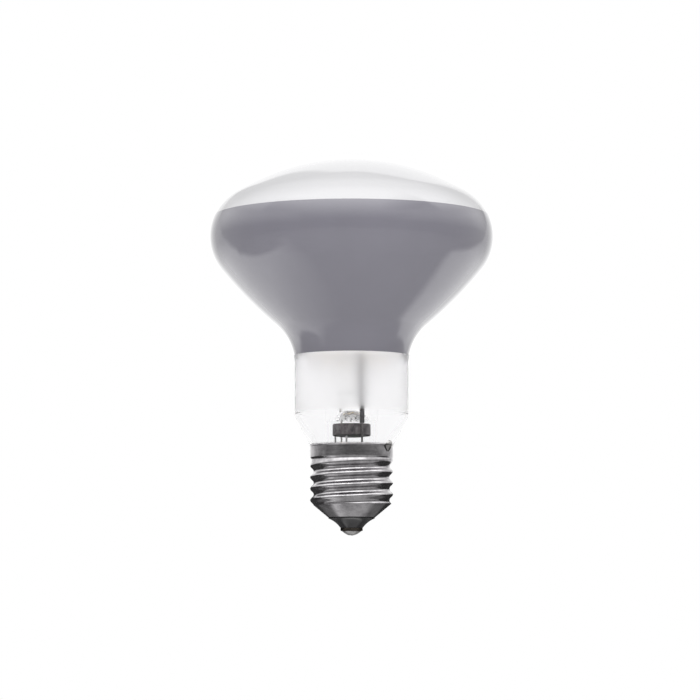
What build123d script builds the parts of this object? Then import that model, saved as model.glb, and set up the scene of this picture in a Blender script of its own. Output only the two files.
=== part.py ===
from build123d import *
import os
from math import acos, asin, cos, degrees, radians, sin, sqrt

# Reflector bulb on a 27 mm screw cap. Millimetres, +Z along the lamp axis, origin at the tip of the contact solder.

# Screw cap: rolled knuckle thread of seven turns to the inch, with a plain collar above and a cone below
thread_pitch = 25.4 / 7
crest_radius = 13.05
thread_depth = 1.1
thread_length = 12.9
crest_width = 0.95
root_width = 0.95
shell_wall = 0.3
foot_radius = 7.3
cone_height = 4.8
collar_height = 5.3
collar_proud = 0.05
rim_height = 0.7
rim_flare = 0.2
notch_width = 1.2
notch_depth = 1.0

# Foot of the cap: solder dome, contact with its rivet and black glass insulator
solder_radius = 3.1
solder_height = 1.5
contact_radius = 3.5
contact_thickness = 0.9
contact_bevel = 0.25
rivet_radius = 1.6
rivet_stand = 0.4
insulator_height = 3.2
insulator_edge = 0.25
insulator_hollow = 0.35
insulator_depth = 2.6

# Blown envelope: dome, rim and flank are tangent arcs, the neck runs into a taper and a sealed tail
glass_wall = 0.9
bulb_radius = 45.0
dome_radius = 68.0
rim_radius = 16.4
flank_radius = 129.5
flank_angle = 39.4
neck_bend = 16.45
neck_radius = 17.93
neck_length = 16.7
taper_height = 8.6
shoulder_bend = 2.0
seat_overhang = 0.1
tail_lift = 0.6
cement_thickness = 0.65

# Side solder drop on the rim, and the wire under it
solder_angle = -30.0
drop_radius = 1.75
drop_length = 3.0
drop_sink = 0.55

# Stem: flare tube with an arched hollow end, sloped shoulder, flat press and post
stem_wall = 0.9
flare_height = 4.5
arch_lift = 0.95
arch_radius = 5.2
arch_height = 3.6
shoulder_lift = 4.95
stem_bevel = 2.6
press_margin = 1.2
press_thickness = 3.2
press_bend = 1.2
press_height = 10.8
post_radius = 1.5
post_end = 2.0

# Wires: the leads stand on a line turned from the X axis, the filament cage follows it
wire_radius = 0.3
side_wire_radius = 0.2
lead_angle = -60.0
lead_rise = 4.0
sleeve_radius = 0.75
sleeve_cover = 1.2

# Filament cage
filament_length = 38.0
filament_width = 1.6
filament_tab = 2.0
tab_width = 0.9
tab_thickness = 0.3
cage_depth = 11.0
bar_end = 1.0

# Driver: drum choke in the flare, other components under the board
choke_radius = 6.0
choke_height = 3.8
choke_bevel = 0.3
choke_lead_inset = 0.8
choke_lift = 2.55
choke_lead_turns = (-110.0, -48.0)
board_thickness = 1.2
board_drop = 3.2
capacitor_radius = 3.5
capacitor_height = 8.0
capacitor_bevel = 0.5
resistor_radius = 1.5
resistor_length = 6.5
resistor_stand = 1.5
rectifier_size = (4.8, 4.0, 2.4)
chip_size = (4.9, 3.9, 1.5)

# Clearances: joined pieces, loose pieces, and the side wire from the edge of the board
fit = 0.05
play = 0.4
edge_room = 1.0

# Heights of the cap, from the solder tip up
contact_z = solder_height + fit
insulator_z = contact_z + contact_thickness + fit
shell_z = insulator_z + insulator_height + fit
thread_z = shell_z + cone_height
collar_z = thread_z + thread_length
rim_z = collar_z + collar_height
seat_z = rim_z + 2 * fit

# Radii of the cap
root_radius = crest_radius - thread_depth
bore_radius = root_radius - shell_wall
ridge_radius = root_radius - shell_wall / 2
ridge_width = thread_pitch - root_width + (thread_pitch - root_width - crest_width) * shell_wall / 2 / thread_depth
collar_radius = crest_radius + collar_proud
collar_bore = collar_radius - shell_wall
lip_radius = collar_radius + rim_flare
cone_slope = (crest_radius - foot_radius) / cone_height
foot_bore = foot_radius - shell_wall * sqrt(1 + cone_slope**2)
bore_z = shell_z + (bore_radius - foot_bore) / cone_slope
run_out_z = collar_z + collar_radius - root_radius
collar_bore_z = run_out_z + shell_wall * (sqrt(2) - 1)

# Heights and angles of the envelope
neck_z = seat_z + taper_height
bend_z = neck_z + neck_length
tail_z = run_out_z + tail_lift
tail_radius = collar_bore - cement_thickness
seat_radius = lip_radius + seat_overhang
dome_turn = degrees(asin((bulb_radius - rim_radius) / (dome_radius - rim_radius)))
flank_reach = (flank_radius - rim_radius) * cos(radians(flank_angle)) - bulb_radius + rim_radius
neck_turn = degrees(acos((neck_radius + neck_bend + flank_reach) / (flank_radius + neck_bend)))
widest_z = (
    bend_z
    + (flank_radius + neck_bend) * sin(radians(neck_turn))
    - (flank_radius - rim_radius) * sin(radians(flank_angle))
)
apex_z = widest_z + dome_radius - sqrt((dome_radius - rim_radius) ** 2 - (bulb_radius - rim_radius) ** 2)

# Heights and radii inside the neck
choke_z = rim_z + choke_lift
choke_top_z = choke_z + choke_height
lead_reach = choke_radius + wire_radius + play / 2
stem_bore = lead_reach + sleeve_radius + play / 2
stem_radius = stem_bore + stem_wall
flare_radius = tail_radius - glass_wall - fit
arch_z = choke_top_z + arch_lift
shoulder_z = arch_z + arch_height + shoulder_lift
dome_z = shoulder_z + stem_bevel
press_z = dome_z + press_height
sleeve_top_z = press_z - sleeve_cover

# Heights of the filament cage
lower_bar_z = press_z + lead_rise
filament_z = lower_bar_z + wire_radius + fit
upper_bar_z = filament_z + filament_length + fit + wire_radius
support_z = upper_bar_z - 2 * wire_radius - fit

# Places on the driver board
board_z = tail_z - board_drop
board_base_z = board_z - board_thickness
board_radius = bore_radius - play
choke_lead_reach = choke_radius - choke_lead_inset
choke_lead_angles = [lead_angle + turn for turn in choke_lead_turns]
capacitor_x = -resistor_radius - play - capacitor_radius
component_x = resistor_radius + play
side_wire_reach = board_radius - edge_room

# Directions of the lead line and across it
lead_x = (cos(radians(lead_angle)), sin(radians(lead_angle)), 0)
lead_y = (-lead_x[1], lead_x[0], 0)

# Upright plane through the axis and the side solder
side_x = (cos(radians(solder_angle)), sin(radians(solder_angle)), 0)
side_plane = Plane((0, 0, 0), x_dir=side_x, z_dir=(side_x[1], -side_x[0], 0))


def polar(reach, angle):
    return (reach * cos(radians(angle)), reach * sin(radians(angle)))


def mitred_wire(points, radius, plane):
    with BuildPart() as wire:
        with BuildLine(plane) as route:
            Polyline(*points)
        with BuildSketch(Plane(route.line @ 0, z_dir=route.line % 0)):
            Circle(radius)
        sweep(transition=Transition.RIGHT)
    return wire


def straight_wire(start, direction, length):
    with BuildPart() as wire:
        with BuildSketch(Plane(start, z_dir=direction)):
            Circle(wire_radius)
        extrude(amount=length)
    return wire


def save(piece, label):
    piece.part.label = label
    export_step(piece.part, f"parts/{label}.step")


os.makedirs("parts", exist_ok=True)

# Cap shell: a helical ridge on the root cylinder, trimmed by the cone below and run out into the collar above
with BuildPart() as cap_shell:
    with BuildLine() as thread_line:
        Helix(thread_pitch, run_out_z - shell_z + thread_pitch / 2, root_radius, center=(0, 0, shell_z))
    with BuildSketch(Plane((0, 0, shell_z), x_dir=(1, 0, 0), z_dir=(0, -1, 0))):
        with BuildLine():
            Polyline(
                (ridge_radius, -ridge_width / 2),
                (crest_radius, -crest_width / 2),
                (crest_radius, crest_width / 2),
                (ridge_radius, ridge_width / 2),
                close=True,
            )
        make_face()
    sweep(path=thread_line.line, is_frenet=True)
    with BuildSketch(Plane.XY.offset(shell_z)):
        Circle(root_radius)
    extrude(amount=run_out_z - shell_z)
    with BuildSketch(Plane.XZ):
        with BuildLine():
            Polyline(
                (0, shell_z),
                (foot_radius, shell_z),
                (foot_radius + cone_slope * (cone_height + thread_depth), thread_z + thread_depth),
                (foot_radius + cone_slope * (cone_height + thread_depth), run_out_z),
                (0, run_out_z),
                close=True,
            )
        make_face()
    revolve(axis=Axis.Z, mode=Mode.INTERSECT)
    with BuildSketch(Plane.XZ):
        with BuildLine():
            Polyline(
                (0, collar_z),
                (root_radius, collar_z),
                (collar_radius, run_out_z),
                (collar_radius, rim_z - rim_height),
                (lip_radius, rim_z - rim_height + rim_flare),
                (lip_radius, rim_z),
                (0, rim_z),
                close=True,
            )
        make_face()
    revolve(axis=Axis.Z)
    with BuildSketch(Plane.XZ):
        with BuildLine():
            Polyline(
                (0, shell_z),
                (foot_bore, shell_z),
                (bore_radius, bore_z),
                (bore_radius, collar_bore_z - collar_bore + bore_radius),
                (collar_bore, collar_bore_z),
                (collar_bore, rim_z),
                (0, rim_z),
                close=True,
            )
        make_face()
    revolve(axis=Axis.Z, mode=Mode.SUBTRACT)
    with BuildSketch(side_plane):
        with Locations((collar_bore, rim_z - notch_depth / 2)):
            Rectangle(4 * rim_height, notch_depth)
    extrude(amount=notch_width / 2, both=True, mode=Mode.SUBTRACT)
save(cap_shell, "cap_shell")

# Insulator: flared black glass foot, locked over the lower edge of the shell
with BuildPart() as cap_insulator:
    with BuildSketch(Plane.XZ):
        with BuildLine():
            Line((rivet_radius + fit, insulator_z), (contact_radius, insulator_z))
            SagittaArc((contact_radius, insulator_z), (foot_radius, shell_z - insulator_edge), -insulator_hollow)
            Polyline(
                (foot_radius, shell_z - insulator_edge),
                (foot_radius, shell_z - fit),
                (foot_bore - fit, shell_z - fit),
                (foot_bore - fit * cone_slope, shell_z),
                (foot_bore - fit * cone_slope + cone_slope * insulator_depth, shell_z + insulator_depth),
                (rivet_radius + fit, shell_z + insulator_depth),
                (rivet_radius + fit, insulator_z),
            )
        make_face()
    revolve(axis=Axis.Z)
save(cap_insulator, "cap_insulator")

# Contact: flange under the foot and a rivet up through it
with BuildPart() as centre_contact:
    with BuildSketch(Plane.XY.offset(contact_z)):
        Circle(contact_radius)
    extrude(amount=contact_thickness)
    chamfer(centre_contact.edges().sort_by(Axis.Z)[0], contact_bevel)
    with BuildSketch(Plane.XY.offset(contact_z + contact_thickness)):
        Circle(rivet_radius)
    extrude(amount=shell_z + insulator_depth + rivet_stand - contact_z - contact_thickness)
save(centre_contact, "centre_contact")

# Solder dome on the contact
with BuildPart() as contact_solder:
    with BuildSketch(Plane.XZ):
        with BuildLine():
            TangentArc((0, 0), (solder_radius, solder_height), tangent=(1, 0))
            Line((solder_radius, solder_height), (0, solder_height))
            Line((0, solder_height), (0, 0))
        make_face()
    revolve(axis=Axis.Z)
save(contact_solder, "contact_solder")

# Side solder: a drop that hangs over the rim, kept outside the lip and the glass above it
drop_x = lip_radius + fit - drop_sink
drop_z = rim_z - rim_height / 2
drop_slope = degrees(asin(drop_radius / drop_length))
with BuildPart() as side_solder:
    with BuildSketch(side_plane):
        with BuildLine():
            drop_round = CenterArc((drop_x, drop_z), drop_radius, -drop_slope, 90 + drop_slope)
            Polyline(drop_round @ 1, (drop_x, drop_z - drop_length), drop_round @ 0)
        make_face()
    revolve(axis=Axis(side_plane.from_local_coords((drop_x, 0, 0)), (0, 0, 1)))
    with BuildSketch(Plane.XZ):
        with BuildLine():
            Polyline(
                (0, collar_z),
                (lip_radius + fit, collar_z),
                (lip_radius + fit, rim_z),
                (seat_radius + fit, seat_z),
                (neck_radius + fit, neck_z),
                (0, neck_z),
                close=True,
            )
        make_face()
    revolve(axis=Axis.Z, mode=Mode.SUBTRACT)
save(side_solder, "side_solder")

# Cement ring between the sealed tail and the collar, with a slot for the side wire
with BuildPart() as basing_cement:
    with BuildSketch(Plane.XY.offset(tail_z)):
        Circle(collar_bore - fit)
        Circle(tail_radius + fit, mode=Mode.SUBTRACT)
    extrude(amount=rim_z - tail_z)
    with BuildSketch(side_plane):
        with Locations((tail_radius + cement_thickness / 2, (tail_z + rim_z) / 2)):
            Rectangle(2 * cement_thickness, rim_z - tail_z)
    extrude(amount=side_wire_radius + 2 * fit, both=True, mode=Mode.SUBTRACT)
save(basing_cement, "basing_cement")


def envelope_line(inset):
    dome = JernArc((0, apex_z - inset), (1, 0), dome_radius - inset, -dome_turn)
    rim = JernArc(dome @ 1, dome % 1, rim_radius - inset, dome_turn - 90 - flank_angle)
    flank = JernArc(rim @ 1, rim % 1, flank_radius - inset, flank_angle - neck_turn)
    bend = JernArc(flank @ 1, flank % 1, neck_bend + inset, neck_turn)
    return bend


# Envelope: outer and inner lines share their arc centres, so the wall is even down to the neck
with BuildPart() as glass_bulb:
    with BuildSketch(Plane.XZ):
        with BuildLine():
            outer_bend = envelope_line(0)
            FilletPolyline(
                outer_bend @ 1,
                (neck_radius, neck_z),
                (seat_radius, seat_z),
                (tail_radius, seat_z),
                (tail_radius, tail_z),
                radius=(shoulder_bend, 0, 0),
            )
            inner_bend = envelope_line(glass_wall)
            Polyline(
                inner_bend @ 1,
                (neck_radius - glass_wall, neck_z),
                (tail_radius - glass_wall, seat_z + glass_wall),
                (tail_radius - glass_wall, tail_z),
            )
            Line((tail_radius, tail_z), (tail_radius - glass_wall, tail_z))
            Line((0, apex_z), (0, apex_z - glass_wall))
        make_face()
    revolve(axis=Axis.Z)
save(glass_bulb, "glass_bulb")


# Stem: flare tube and sloped shoulder, press and post as one body of glass, then hollowed from below up to an arch
arch_line = [(arch_radius * cos(radians(a)), arch_z + arch_height * sin(radians(a))) for a in (0, 35, 65, 90)]
with BuildPart() as glass_stem:
    with BuildSketch(Plane.XZ):
        with BuildLine():
            Polyline(
                (0, tail_z),
                (flare_radius, tail_z),
                (stem_radius, tail_z + flare_height),
                (stem_radius, shoulder_z),
                (stem_radius - stem_bevel, dome_z),
                (0, dome_z),
                close=True,
            )
        make_face()
    revolve(axis=Axis.Z)
    with BuildSketch(Plane((0, 0, shoulder_z), x_dir=lead_x, z_dir=(0, 0, 1))):
        RectangleRounded(2 * (lead_reach + press_margin), press_thickness, press_bend)
    extrude(amount=press_z - shoulder_z)
    with BuildSketch(Plane.XY.offset(press_z)):
        Circle(post_radius)
    extrude(amount=support_z + post_end - press_z)
    with BuildSketch(Plane.XZ):
        with BuildLine():
            Polyline(
                (0, tail_z),
                (flare_radius - stem_wall, tail_z),
                (stem_bore, tail_z + flare_height),
                (stem_bore, arch_z),
                *arch_line,
                close=True,
            )
        make_face()
    revolve(axis=Axis.Z, mode=Mode.SUBTRACT)
    with BuildSketch(Plane((0, 0, arch_z), x_dir=lead_x, z_dir=(0, 0, 1))):
        with Locations((lead_reach, 0), (-lead_reach, 0)):
            Circle(wire_radius + fit)
    extrude(amount=press_z - arch_z, mode=Mode.SUBTRACT)
    with BuildSketch(Plane((0, 0, arch_z), x_dir=lead_x, z_dir=(0, 0, 1))):
        with Locations((lead_reach, 0)):
            Circle(sleeve_radius + fit)
    extrude(amount=sleeve_top_z - arch_z, mode=Mode.SUBTRACT)
    with BuildSketch(Plane((0, 0, support_z), x_dir=lead_x, z_dir=lead_y)):
        Circle(wire_radius + fit)
    extrude(amount=post_radius, both=True, mode=Mode.SUBTRACT)
save(glass_stem, "glass_stem")

# Supply leads: straight up past the choke and through the press to the lower bars
for name, side in (("front_lead_wire", 1), ("back_lead_wire", -1)):
    lead_foot = Vector(lead_x) * side * lead_reach + Vector(0, 0, board_z + fit)
    lead_wire = straight_wire(lead_foot, (0, 0, 1), lower_bar_z - wire_radius - fit - board_z - fit)
    save(lead_wire, name)

# Sleeve on the front lead, from the choke past the arch and up into the press
with BuildPart() as lead_sleeve:
    with BuildSketch(Plane.XY.offset(choke_top_z + fit)):
        with Locations(polar(lead_reach, lead_angle)):
            Circle(sleeve_radius)
            Circle(wire_radius + fit, mode=Mode.SUBTRACT)
    extrude(amount=sleeve_top_z - choke_top_z - 2 * fit)
save(lead_sleeve, "lead_sleeve")

# Bars of the cage: the lower ones stand on the leads, the upper ones lie on the support wire
bar_half = cage_depth / 2 + bar_end
for number, side in ((1, 1), (2, -1)):
    lower_foot = Vector(lead_x) * side * lead_reach - Vector(lead_y) * bar_half + Vector(0, 0, lower_bar_z)
    save(straight_wire(lower_foot, lead_y, 2 * bar_half), f"lower_bar_{number}")
    upper_foot = (
        Vector(lead_y) * side * cage_depth / 2 - Vector(lead_x) * (lead_reach + bar_end) + Vector(0, 0, upper_bar_z)
    )
    save(straight_wire(upper_foot, lead_x, 2 * (lead_reach + bar_end)), f"upper_bar_{number}")
support_foot = Vector(0, 0, support_z) - Vector(lead_y) * bar_half
save(straight_wire(support_foot, lead_y, 2 * bar_half), "support_wire")

# Filaments: coated strip with a bare tab at each end, one at each corner of the cage
corners = ((1, 1), (1, -1), (-1, -1), (-1, 1))
for number, (across, deep) in enumerate(corners, start=1):
    with BuildPart() as led_filament:
        with BuildSketch(Plane((0, 0, filament_z), x_dir=lead_x, z_dir=(0, 0, 1))):
            with Locations((across * lead_reach, deep * cage_depth / 2)):
                Rectangle(tab_width, tab_thickness)
        extrude(amount=filament_length)
        with BuildSketch(Plane((0, 0, filament_z + filament_tab), x_dir=lead_x, z_dir=(0, 0, 1))):
            with Locations((across * lead_reach, deep * cage_depth / 2)):
                Rectangle(filament_width, filament_width)
        extrude(amount=filament_length - 2 * filament_tab)
    save(led_filament, f"led_filament_{number}")

# Drum choke: wound drum in its shrink sleeve, standing on two leads
with BuildPart() as drum_choke:
    with BuildSketch(Plane.XY.offset(choke_z)):
        Circle(choke_radius)
    extrude(amount=choke_height)
    chamfer(drum_choke.edges(), choke_bevel)
    with BuildSketch(Plane.XY.offset(board_z + fit)):
        with Locations(*[polar(choke_lead_reach, angle) for angle in choke_lead_angles]):
            Circle(wire_radius)
    extrude(amount=choke_z - board_z - fit)
save(drum_choke, "drum_choke")

# Driver board, round to suit the cap
with BuildPart() as driver_board:
    with BuildSketch(Plane.XY.offset(board_base_z)):
        Circle(board_radius)
    extrude(amount=board_thickness)
save(driver_board, "driver_board")

# Smoothing capacitor: bevelled can, hanging under the board
with BuildPart() as smoothing_capacitor:
    with BuildSketch(Plane.XY.offset(board_base_z - fit)):
        with Locations((capacitor_x, 0)):
            Circle(capacitor_radius)
    extrude(amount=-capacitor_height)
    chamfer(smoothing_capacitor.edges().sort_by(Axis.Z)[0], capacitor_bevel)
save(smoothing_capacitor, "smoothing_capacitor")

# Fusible resistor on the lamp axis, from the board down to the rivet of the contact
resistor_z = board_base_z - resistor_stand
rivet_z = shell_z + insulator_depth + rivet_stand
with BuildPart() as fusible_resistor:
    with BuildSketch(Plane.XY.offset(rivet_z + fit)):
        Circle(wire_radius)
    extrude(amount=board_base_z - rivet_z - 2 * fit)
    with BuildSketch(Plane.XY.offset(resistor_z - resistor_length)):
        Circle(resistor_radius)
    extrude(amount=resistor_length)
save(fusible_resistor, "fusible_resistor")

# Flat components under the board, on the side away from the capacitor
for name, size, side in (("bridge_rectifier", rectifier_size, 1), ("driver_chip", chip_size, -1)):
    with BuildPart() as component:
        with BuildSketch(Plane.XY.offset(board_base_z - fit - size[2])):
            with Locations((component_x + size[0] / 2, side * (size[1] + play) / 2)):
                Rectangle(size[0], size[1])
        extrude(amount=size[2])
        chamfer(component.faces().sort_by(Axis.Z)[0].edges(), size[2] * 0.15)
    save(component, name)

# Side wire: from the board, under the sealed tail, up through the cement and out of the notch
pass_z = (tail_z - tail_radius + collar_bore_z - collar_bore) / 2
cement_middle = tail_radius + cement_thickness / 2
notch_z = rim_z - notch_depth / 2
neutral_wire = mitred_wire(
    (
        (side_wire_reach, board_z + fit),
        (side_wire_reach, side_wire_reach + pass_z),
        (cement_middle, cement_middle + pass_z),
        (cement_middle, notch_z),
        (lip_radius, notch_z),
    ),
    side_wire_radius,
    side_plane,
)
save(neutral_wire, "neutral_wire")
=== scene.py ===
import bpy
from math import acos, asin, atan2, cos, degrees, hypot, pi, radians, sin, sqrt, tan
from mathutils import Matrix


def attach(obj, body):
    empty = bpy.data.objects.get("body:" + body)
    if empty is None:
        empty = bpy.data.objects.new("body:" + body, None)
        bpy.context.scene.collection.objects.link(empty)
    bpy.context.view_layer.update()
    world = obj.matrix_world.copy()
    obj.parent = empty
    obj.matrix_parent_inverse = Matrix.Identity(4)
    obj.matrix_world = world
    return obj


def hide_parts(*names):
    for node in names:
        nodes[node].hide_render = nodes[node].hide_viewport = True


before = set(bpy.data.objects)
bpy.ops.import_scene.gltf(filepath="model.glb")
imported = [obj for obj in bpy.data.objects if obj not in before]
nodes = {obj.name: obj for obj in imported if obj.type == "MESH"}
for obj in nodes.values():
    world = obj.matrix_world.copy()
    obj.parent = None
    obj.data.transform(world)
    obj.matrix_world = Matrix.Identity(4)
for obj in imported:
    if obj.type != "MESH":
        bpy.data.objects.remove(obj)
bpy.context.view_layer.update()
mm = 0.001  # pieces are drawn in millimetres, the studio in metres
mergeWithin = 2e-6  # points closer than this become one
print("frame loaded:", len(nodes), "solids")


# an outline is drawn point by point, then turned on the lamp axis
pen = {"reach": 0.0, "height": 0.0}


def deselectAll():
    if bpy.context.mode != "OBJECT":
        bpy.ops.object.mode_set(mode="OBJECT")
    bpy.ops.object.select_all(action="DESELECT")


def startOutline(name, reach, height):
    deselectAll()
    bpy.ops.mesh.primitive_plane_add(size=mm)
    piece = bpy.context.object
    piece.name = name
    piece.data.name = name
    bpy.ops.object.mode_set(mode="EDIT")
    bpy.ops.mesh.select_all(action="SELECT")
    bpy.ops.mesh.merge(type="CENTER")  # the plane shrinks to the one point that is drawn on
    bpy.ops.transform.translate(value=(reach * mm, 0, height * mm))
    pen.update(reach=reach, height=height)
    return piece


def lineTo(reach, height, parts=1):
    step = ((reach - pen["reach"]) * mm / parts, 0, (height - pen["height"]) * mm / parts)
    for part in range(parts):
        bpy.ops.mesh.extrude_vertices_move(TRANSFORM_OT_translate={"value": step})
    pen.update(reach=reach, height=height)


def arcTo(centreReach, centreHeight, turn, parts):
    # turn in degrees, clockwise seen from the front
    bpy.ops.mesh.spin(
        steps=parts,
        angle=-radians(turn),
        center=(centreReach * mm, 0, centreHeight * mm),
        axis=(0, 1, 0),
    )
    across, up = pen["reach"] - centreReach, pen["height"] - centreHeight
    turned = radians(turn)
    pen.update(
        reach=centreReach + across * cos(turned) + up * sin(turned),
        height=centreHeight - across * sin(turned) + up * cos(turned),
    )


def turnRound(steps, sharp=40):
    bpy.ops.mesh.select_all(action="SELECT")
    bpy.ops.mesh.spin(steps=steps, angle=2 * pi, center=(0, 0, 0), axis=(0, 0, 1))
    bpy.ops.mesh.select_all(action="SELECT")
    bpy.ops.mesh.remove_doubles(threshold=mergeWithin)
    bpy.ops.mesh.normals_make_consistent(inside=False)
    bpy.ops.object.mode_set(mode="OBJECT")
    bpy.ops.object.shade_smooth_by_angle(angle=radians(sharp))


def fitPiece(piece, slotName, *replaced):
    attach(piece, "root")
    if replaced:
        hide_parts(*replaced)


def emptyFinish(name):
    finish = bpy.data.materials.new(name)
    finish.use_nodes = True
    tree = finish.node_tree
    tree.nodes.clear()
    return finish, tree, tree.nodes.new("ShaderNodeOutputMaterial")


def newFinish(name):
    finish, tree, output = emptyFinish(name)
    shader = tree.nodes.new("ShaderNodeBsdfPrincipled")
    tree.links.new(shader.outputs["BSDF"], output.inputs["Surface"])
    return finish, tree, shader


def objectPlace(tree, scale=(1, 1, 1)):
    place = tree.nodes.new("ShaderNodeTexCoord")
    mapping = tree.nodes.new("ShaderNodeMapping")
    mapping.inputs["Scale"].default_value = scale
    tree.links.new(place.outputs["Object"], mapping.inputs["Vector"])
    return mapping.outputs["Vector"]


def noise(tree, vector, scale, detail=4.0, rough=0.55):
    texture = tree.nodes.new("ShaderNodeTexNoise")
    texture.inputs["Scale"].default_value = scale
    texture.inputs["Detail"].default_value = detail
    texture.inputs["Roughness"].default_value = rough
    tree.links.new(vector, texture.inputs["Vector"])
    return texture.outputs["Fac"]


def ramp(tree, value, stops):
    node = tree.nodes.new("ShaderNodeValToRGB")
    band = node.color_ramp
    while len(band.elements) < len(stops):
        band.elements.new(0.5)
    for element, (place, colour) in zip(band.elements, stops):
        element.position = place
        element.color = (*colour, 1) if isinstance(colour, tuple) else (colour, colour, colour, 1)
    tree.links.new(value, node.inputs["Fac"])
    return node.outputs["Color"]


def rescale(tree, value, low, high, newLow, newHigh):
    node = tree.nodes.new("ShaderNodeMapRange")
    node.inputs["From Min"].default_value = low
    node.inputs["From Max"].default_value = high
    node.inputs["To Min"].default_value = newLow
    node.inputs["To Max"].default_value = newHigh
    tree.links.new(value, node.inputs["Value"])
    return node.outputs["Result"]


def feed(tree, socket, value):
    if isinstance(value, (int, float)):
        socket.default_value = value
    else:
        tree.links.new(value, socket)


def calc(tree, operation, first, second):
    node = tree.nodes.new("ShaderNodeMath")
    node.operation = operation
    feed(tree, node.inputs[0], first)
    feed(tree, node.inputs[1], second)
    return node.outputs[0]


def blend(tree, method, factor, first, second):
    node = tree.nodes.new("ShaderNodeMix")
    node.data_type = "RGBA"
    node.blend_type = method
    feed(tree, node.inputs["Factor"], factor)
    tree.links.new(first, node.inputs["A"])
    tree.links.new(second, node.inputs["B"])
    return node.outputs["Result"]


def mixShaders(tree, share, first, second):
    node = tree.nodes.new("ShaderNodeMixShader")
    tree.links.new(share, node.inputs["Fac"])
    tree.links.new(first, node.inputs[1])
    tree.links.new(second, node.inputs[2])
    return node.outputs["Shader"]


def heightOf(tree):
    place = tree.nodes.new("ShaderNodeTexCoord")
    split = tree.nodes.new("ShaderNodeSeparateXYZ")
    tree.links.new(place.outputs["Object"], split.inputs["Vector"])
    return split.outputs["Z"]


def heightRamp(tree, stops):
    # stops are (height in mm, colour)
    low, high = stops[0][0], stops[-1][0]
    share = rescale(tree, heightOf(tree), low * mm, high * mm, 0, 1)
    return ramp(tree, share, [((height - low) / (high - low), colour) for height, colour in stops])


def bump(tree, shader, height, strength, distance):
    node = tree.nodes.new("ShaderNodeBump")
    node.inputs["Strength"].default_value = strength
    node.inputs["Distance"].default_value = distance
    tree.links.new(height, node.inputs["Height"])
    tree.links.new(node.outputs["Normal"], shader.inputs["Normal"])


def glaze(shader, weight):
    shader.inputs["Coat Weight"].default_value = weight
    shader.inputs["Coat Roughness"].default_value = 0.03


def wear(piece, *finishes):
    piece.data.materials.clear()
    for finish in finishes:
        piece.data.materials.append(finish)


# blown glass envelope with its coatings
bulbForm = {
    "wall": 0.9,
    "bulbRadius": 45.0,
    "domeRadius": 68.0,
    "rimRadius": 16.4,
    "flankRadius": 129.5,
    "flankAngle": 39.4,
    "neckBend": 16.45,
    "neckRadius": 17.93,
    "bendZ": 54.15,
    "neckZ": 37.45,
    "shoulderBend": 2.0,
    "seatRadius": 13.4,
    "seatZ": 28.85,
    "tailRadius": 12.15,
    "tailZ": 25.2,
    "frontEdgeZ": 101.05,  # lower edge of the white front
    "mirrorEdgeZ": 57.0,  # lower edge of the grey mirror
    "frostEdgeZ": 38.5,  # below this the neck is clear
    "domeParts": 30,
    "rimParts": 44,
    "flankParts": 16,
    "bendParts": 26,
    "neckParts": 14,
    "shoulderParts": 6,
    "taperParts": 8,
    "turns": 192,
}


def drawEnvelope(form):
    # dome, rim, flank and neck bend are tangent arcs that both walls share
    rimCentre = form["bulbRadius"] - form["rimRadius"]
    domeReach = form["domeRadius"] - form["rimRadius"]
    rimReach = form["flankRadius"] - form["rimRadius"]
    flankReach = rimReach * cos(radians(form["flankAngle"]))
    flankDrop = rimReach * sin(radians(form["flankAngle"]))
    bendCentre = form["neckRadius"] + form["neckBend"]
    bendReach = form["flankRadius"] + form["neckBend"]
    domeTurn = degrees(asin(rimCentre / domeReach))
    neckTurn = degrees(acos((bendCentre + flankReach - rimCentre) / bendReach))
    flankCentreZ = form["bendZ"] + bendReach * sin(radians(neckTurn))
    widestZ = flankCentreZ - flankDrop
    domeCentreZ = widestZ - sqrt(domeReach**2 - rimCentre**2)
    form["widestZ"] = widestZ
    form["apexZ"] = domeCentreZ + form["domeRadius"]
    return (
        (0, domeCentreZ, domeTurn, form["domeParts"]),
        (rimCentre, widestZ, 90 + form["flankAngle"] - domeTurn, form["rimParts"]),
        (rimCentre - flankReach, flankCentreZ, neckTurn - form["flankAngle"], form["flankParts"]),
        (bendCentre, form["bendZ"], -neckTurn, form["bendParts"]),
    )


def buildBulb(form):
    arcs = drawEnvelope(form)
    bulb = startOutline("glassBulbSkin", 0, form["apexZ"])
    for arc in arcs:
        arcTo(*arc)
    # the neck runs into the taper with a small round shoulder
    slope = atan2(form["neckRadius"] - form["seatRadius"], form["neckZ"] - form["seatZ"])
    shoulderZ = form["neckZ"] + form["shoulderBend"] * tan(slope / 2)
    lineTo(form["neckRadius"], shoulderZ, form["neckParts"])
    arcTo(form["neckRadius"] - form["shoulderBend"], shoulderZ, degrees(slope), form["shoulderParts"])
    lineTo(form["seatRadius"], form["seatZ"], form["taperParts"])
    lineTo(form["tailRadius"], form["seatZ"], 2)
    lineTo(form["tailRadius"], form["tailZ"], 3)
    # back up the inside
    tailBore = form["tailRadius"] - form["wall"]
    neckBore = form["neckRadius"] - form["wall"]
    lineTo(tailBore, form["tailZ"])
    lineTo(tailBore, form["seatZ"] + form["wall"], 3)
    lineTo(neckBore, form["neckZ"], form["taperParts"])
    lineTo(neckBore, form["bendZ"], form["neckParts"])
    for centreReach, centreHeight, turn, parts in reversed(arcs):
        arcTo(centreReach, centreHeight, -turn, parts)
    turnRound(form["turns"])
    # edge loops where the coatings end
    bpy.ops.object.mode_set(mode="EDIT")
    for edgeZ in (form["frontEdgeZ"], form["mirrorEdgeZ"], form["frostEdgeZ"]):
        bpy.ops.mesh.select_all(action="SELECT")
        bpy.ops.mesh.bisect(plane_co=(0, 0, edgeZ * mm), plane_no=(0, 0, 1))
    bpy.ops.mesh.select_all(action="DESELECT")
    bpy.ops.object.mode_set(mode="OBJECT")
    return bulb


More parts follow.
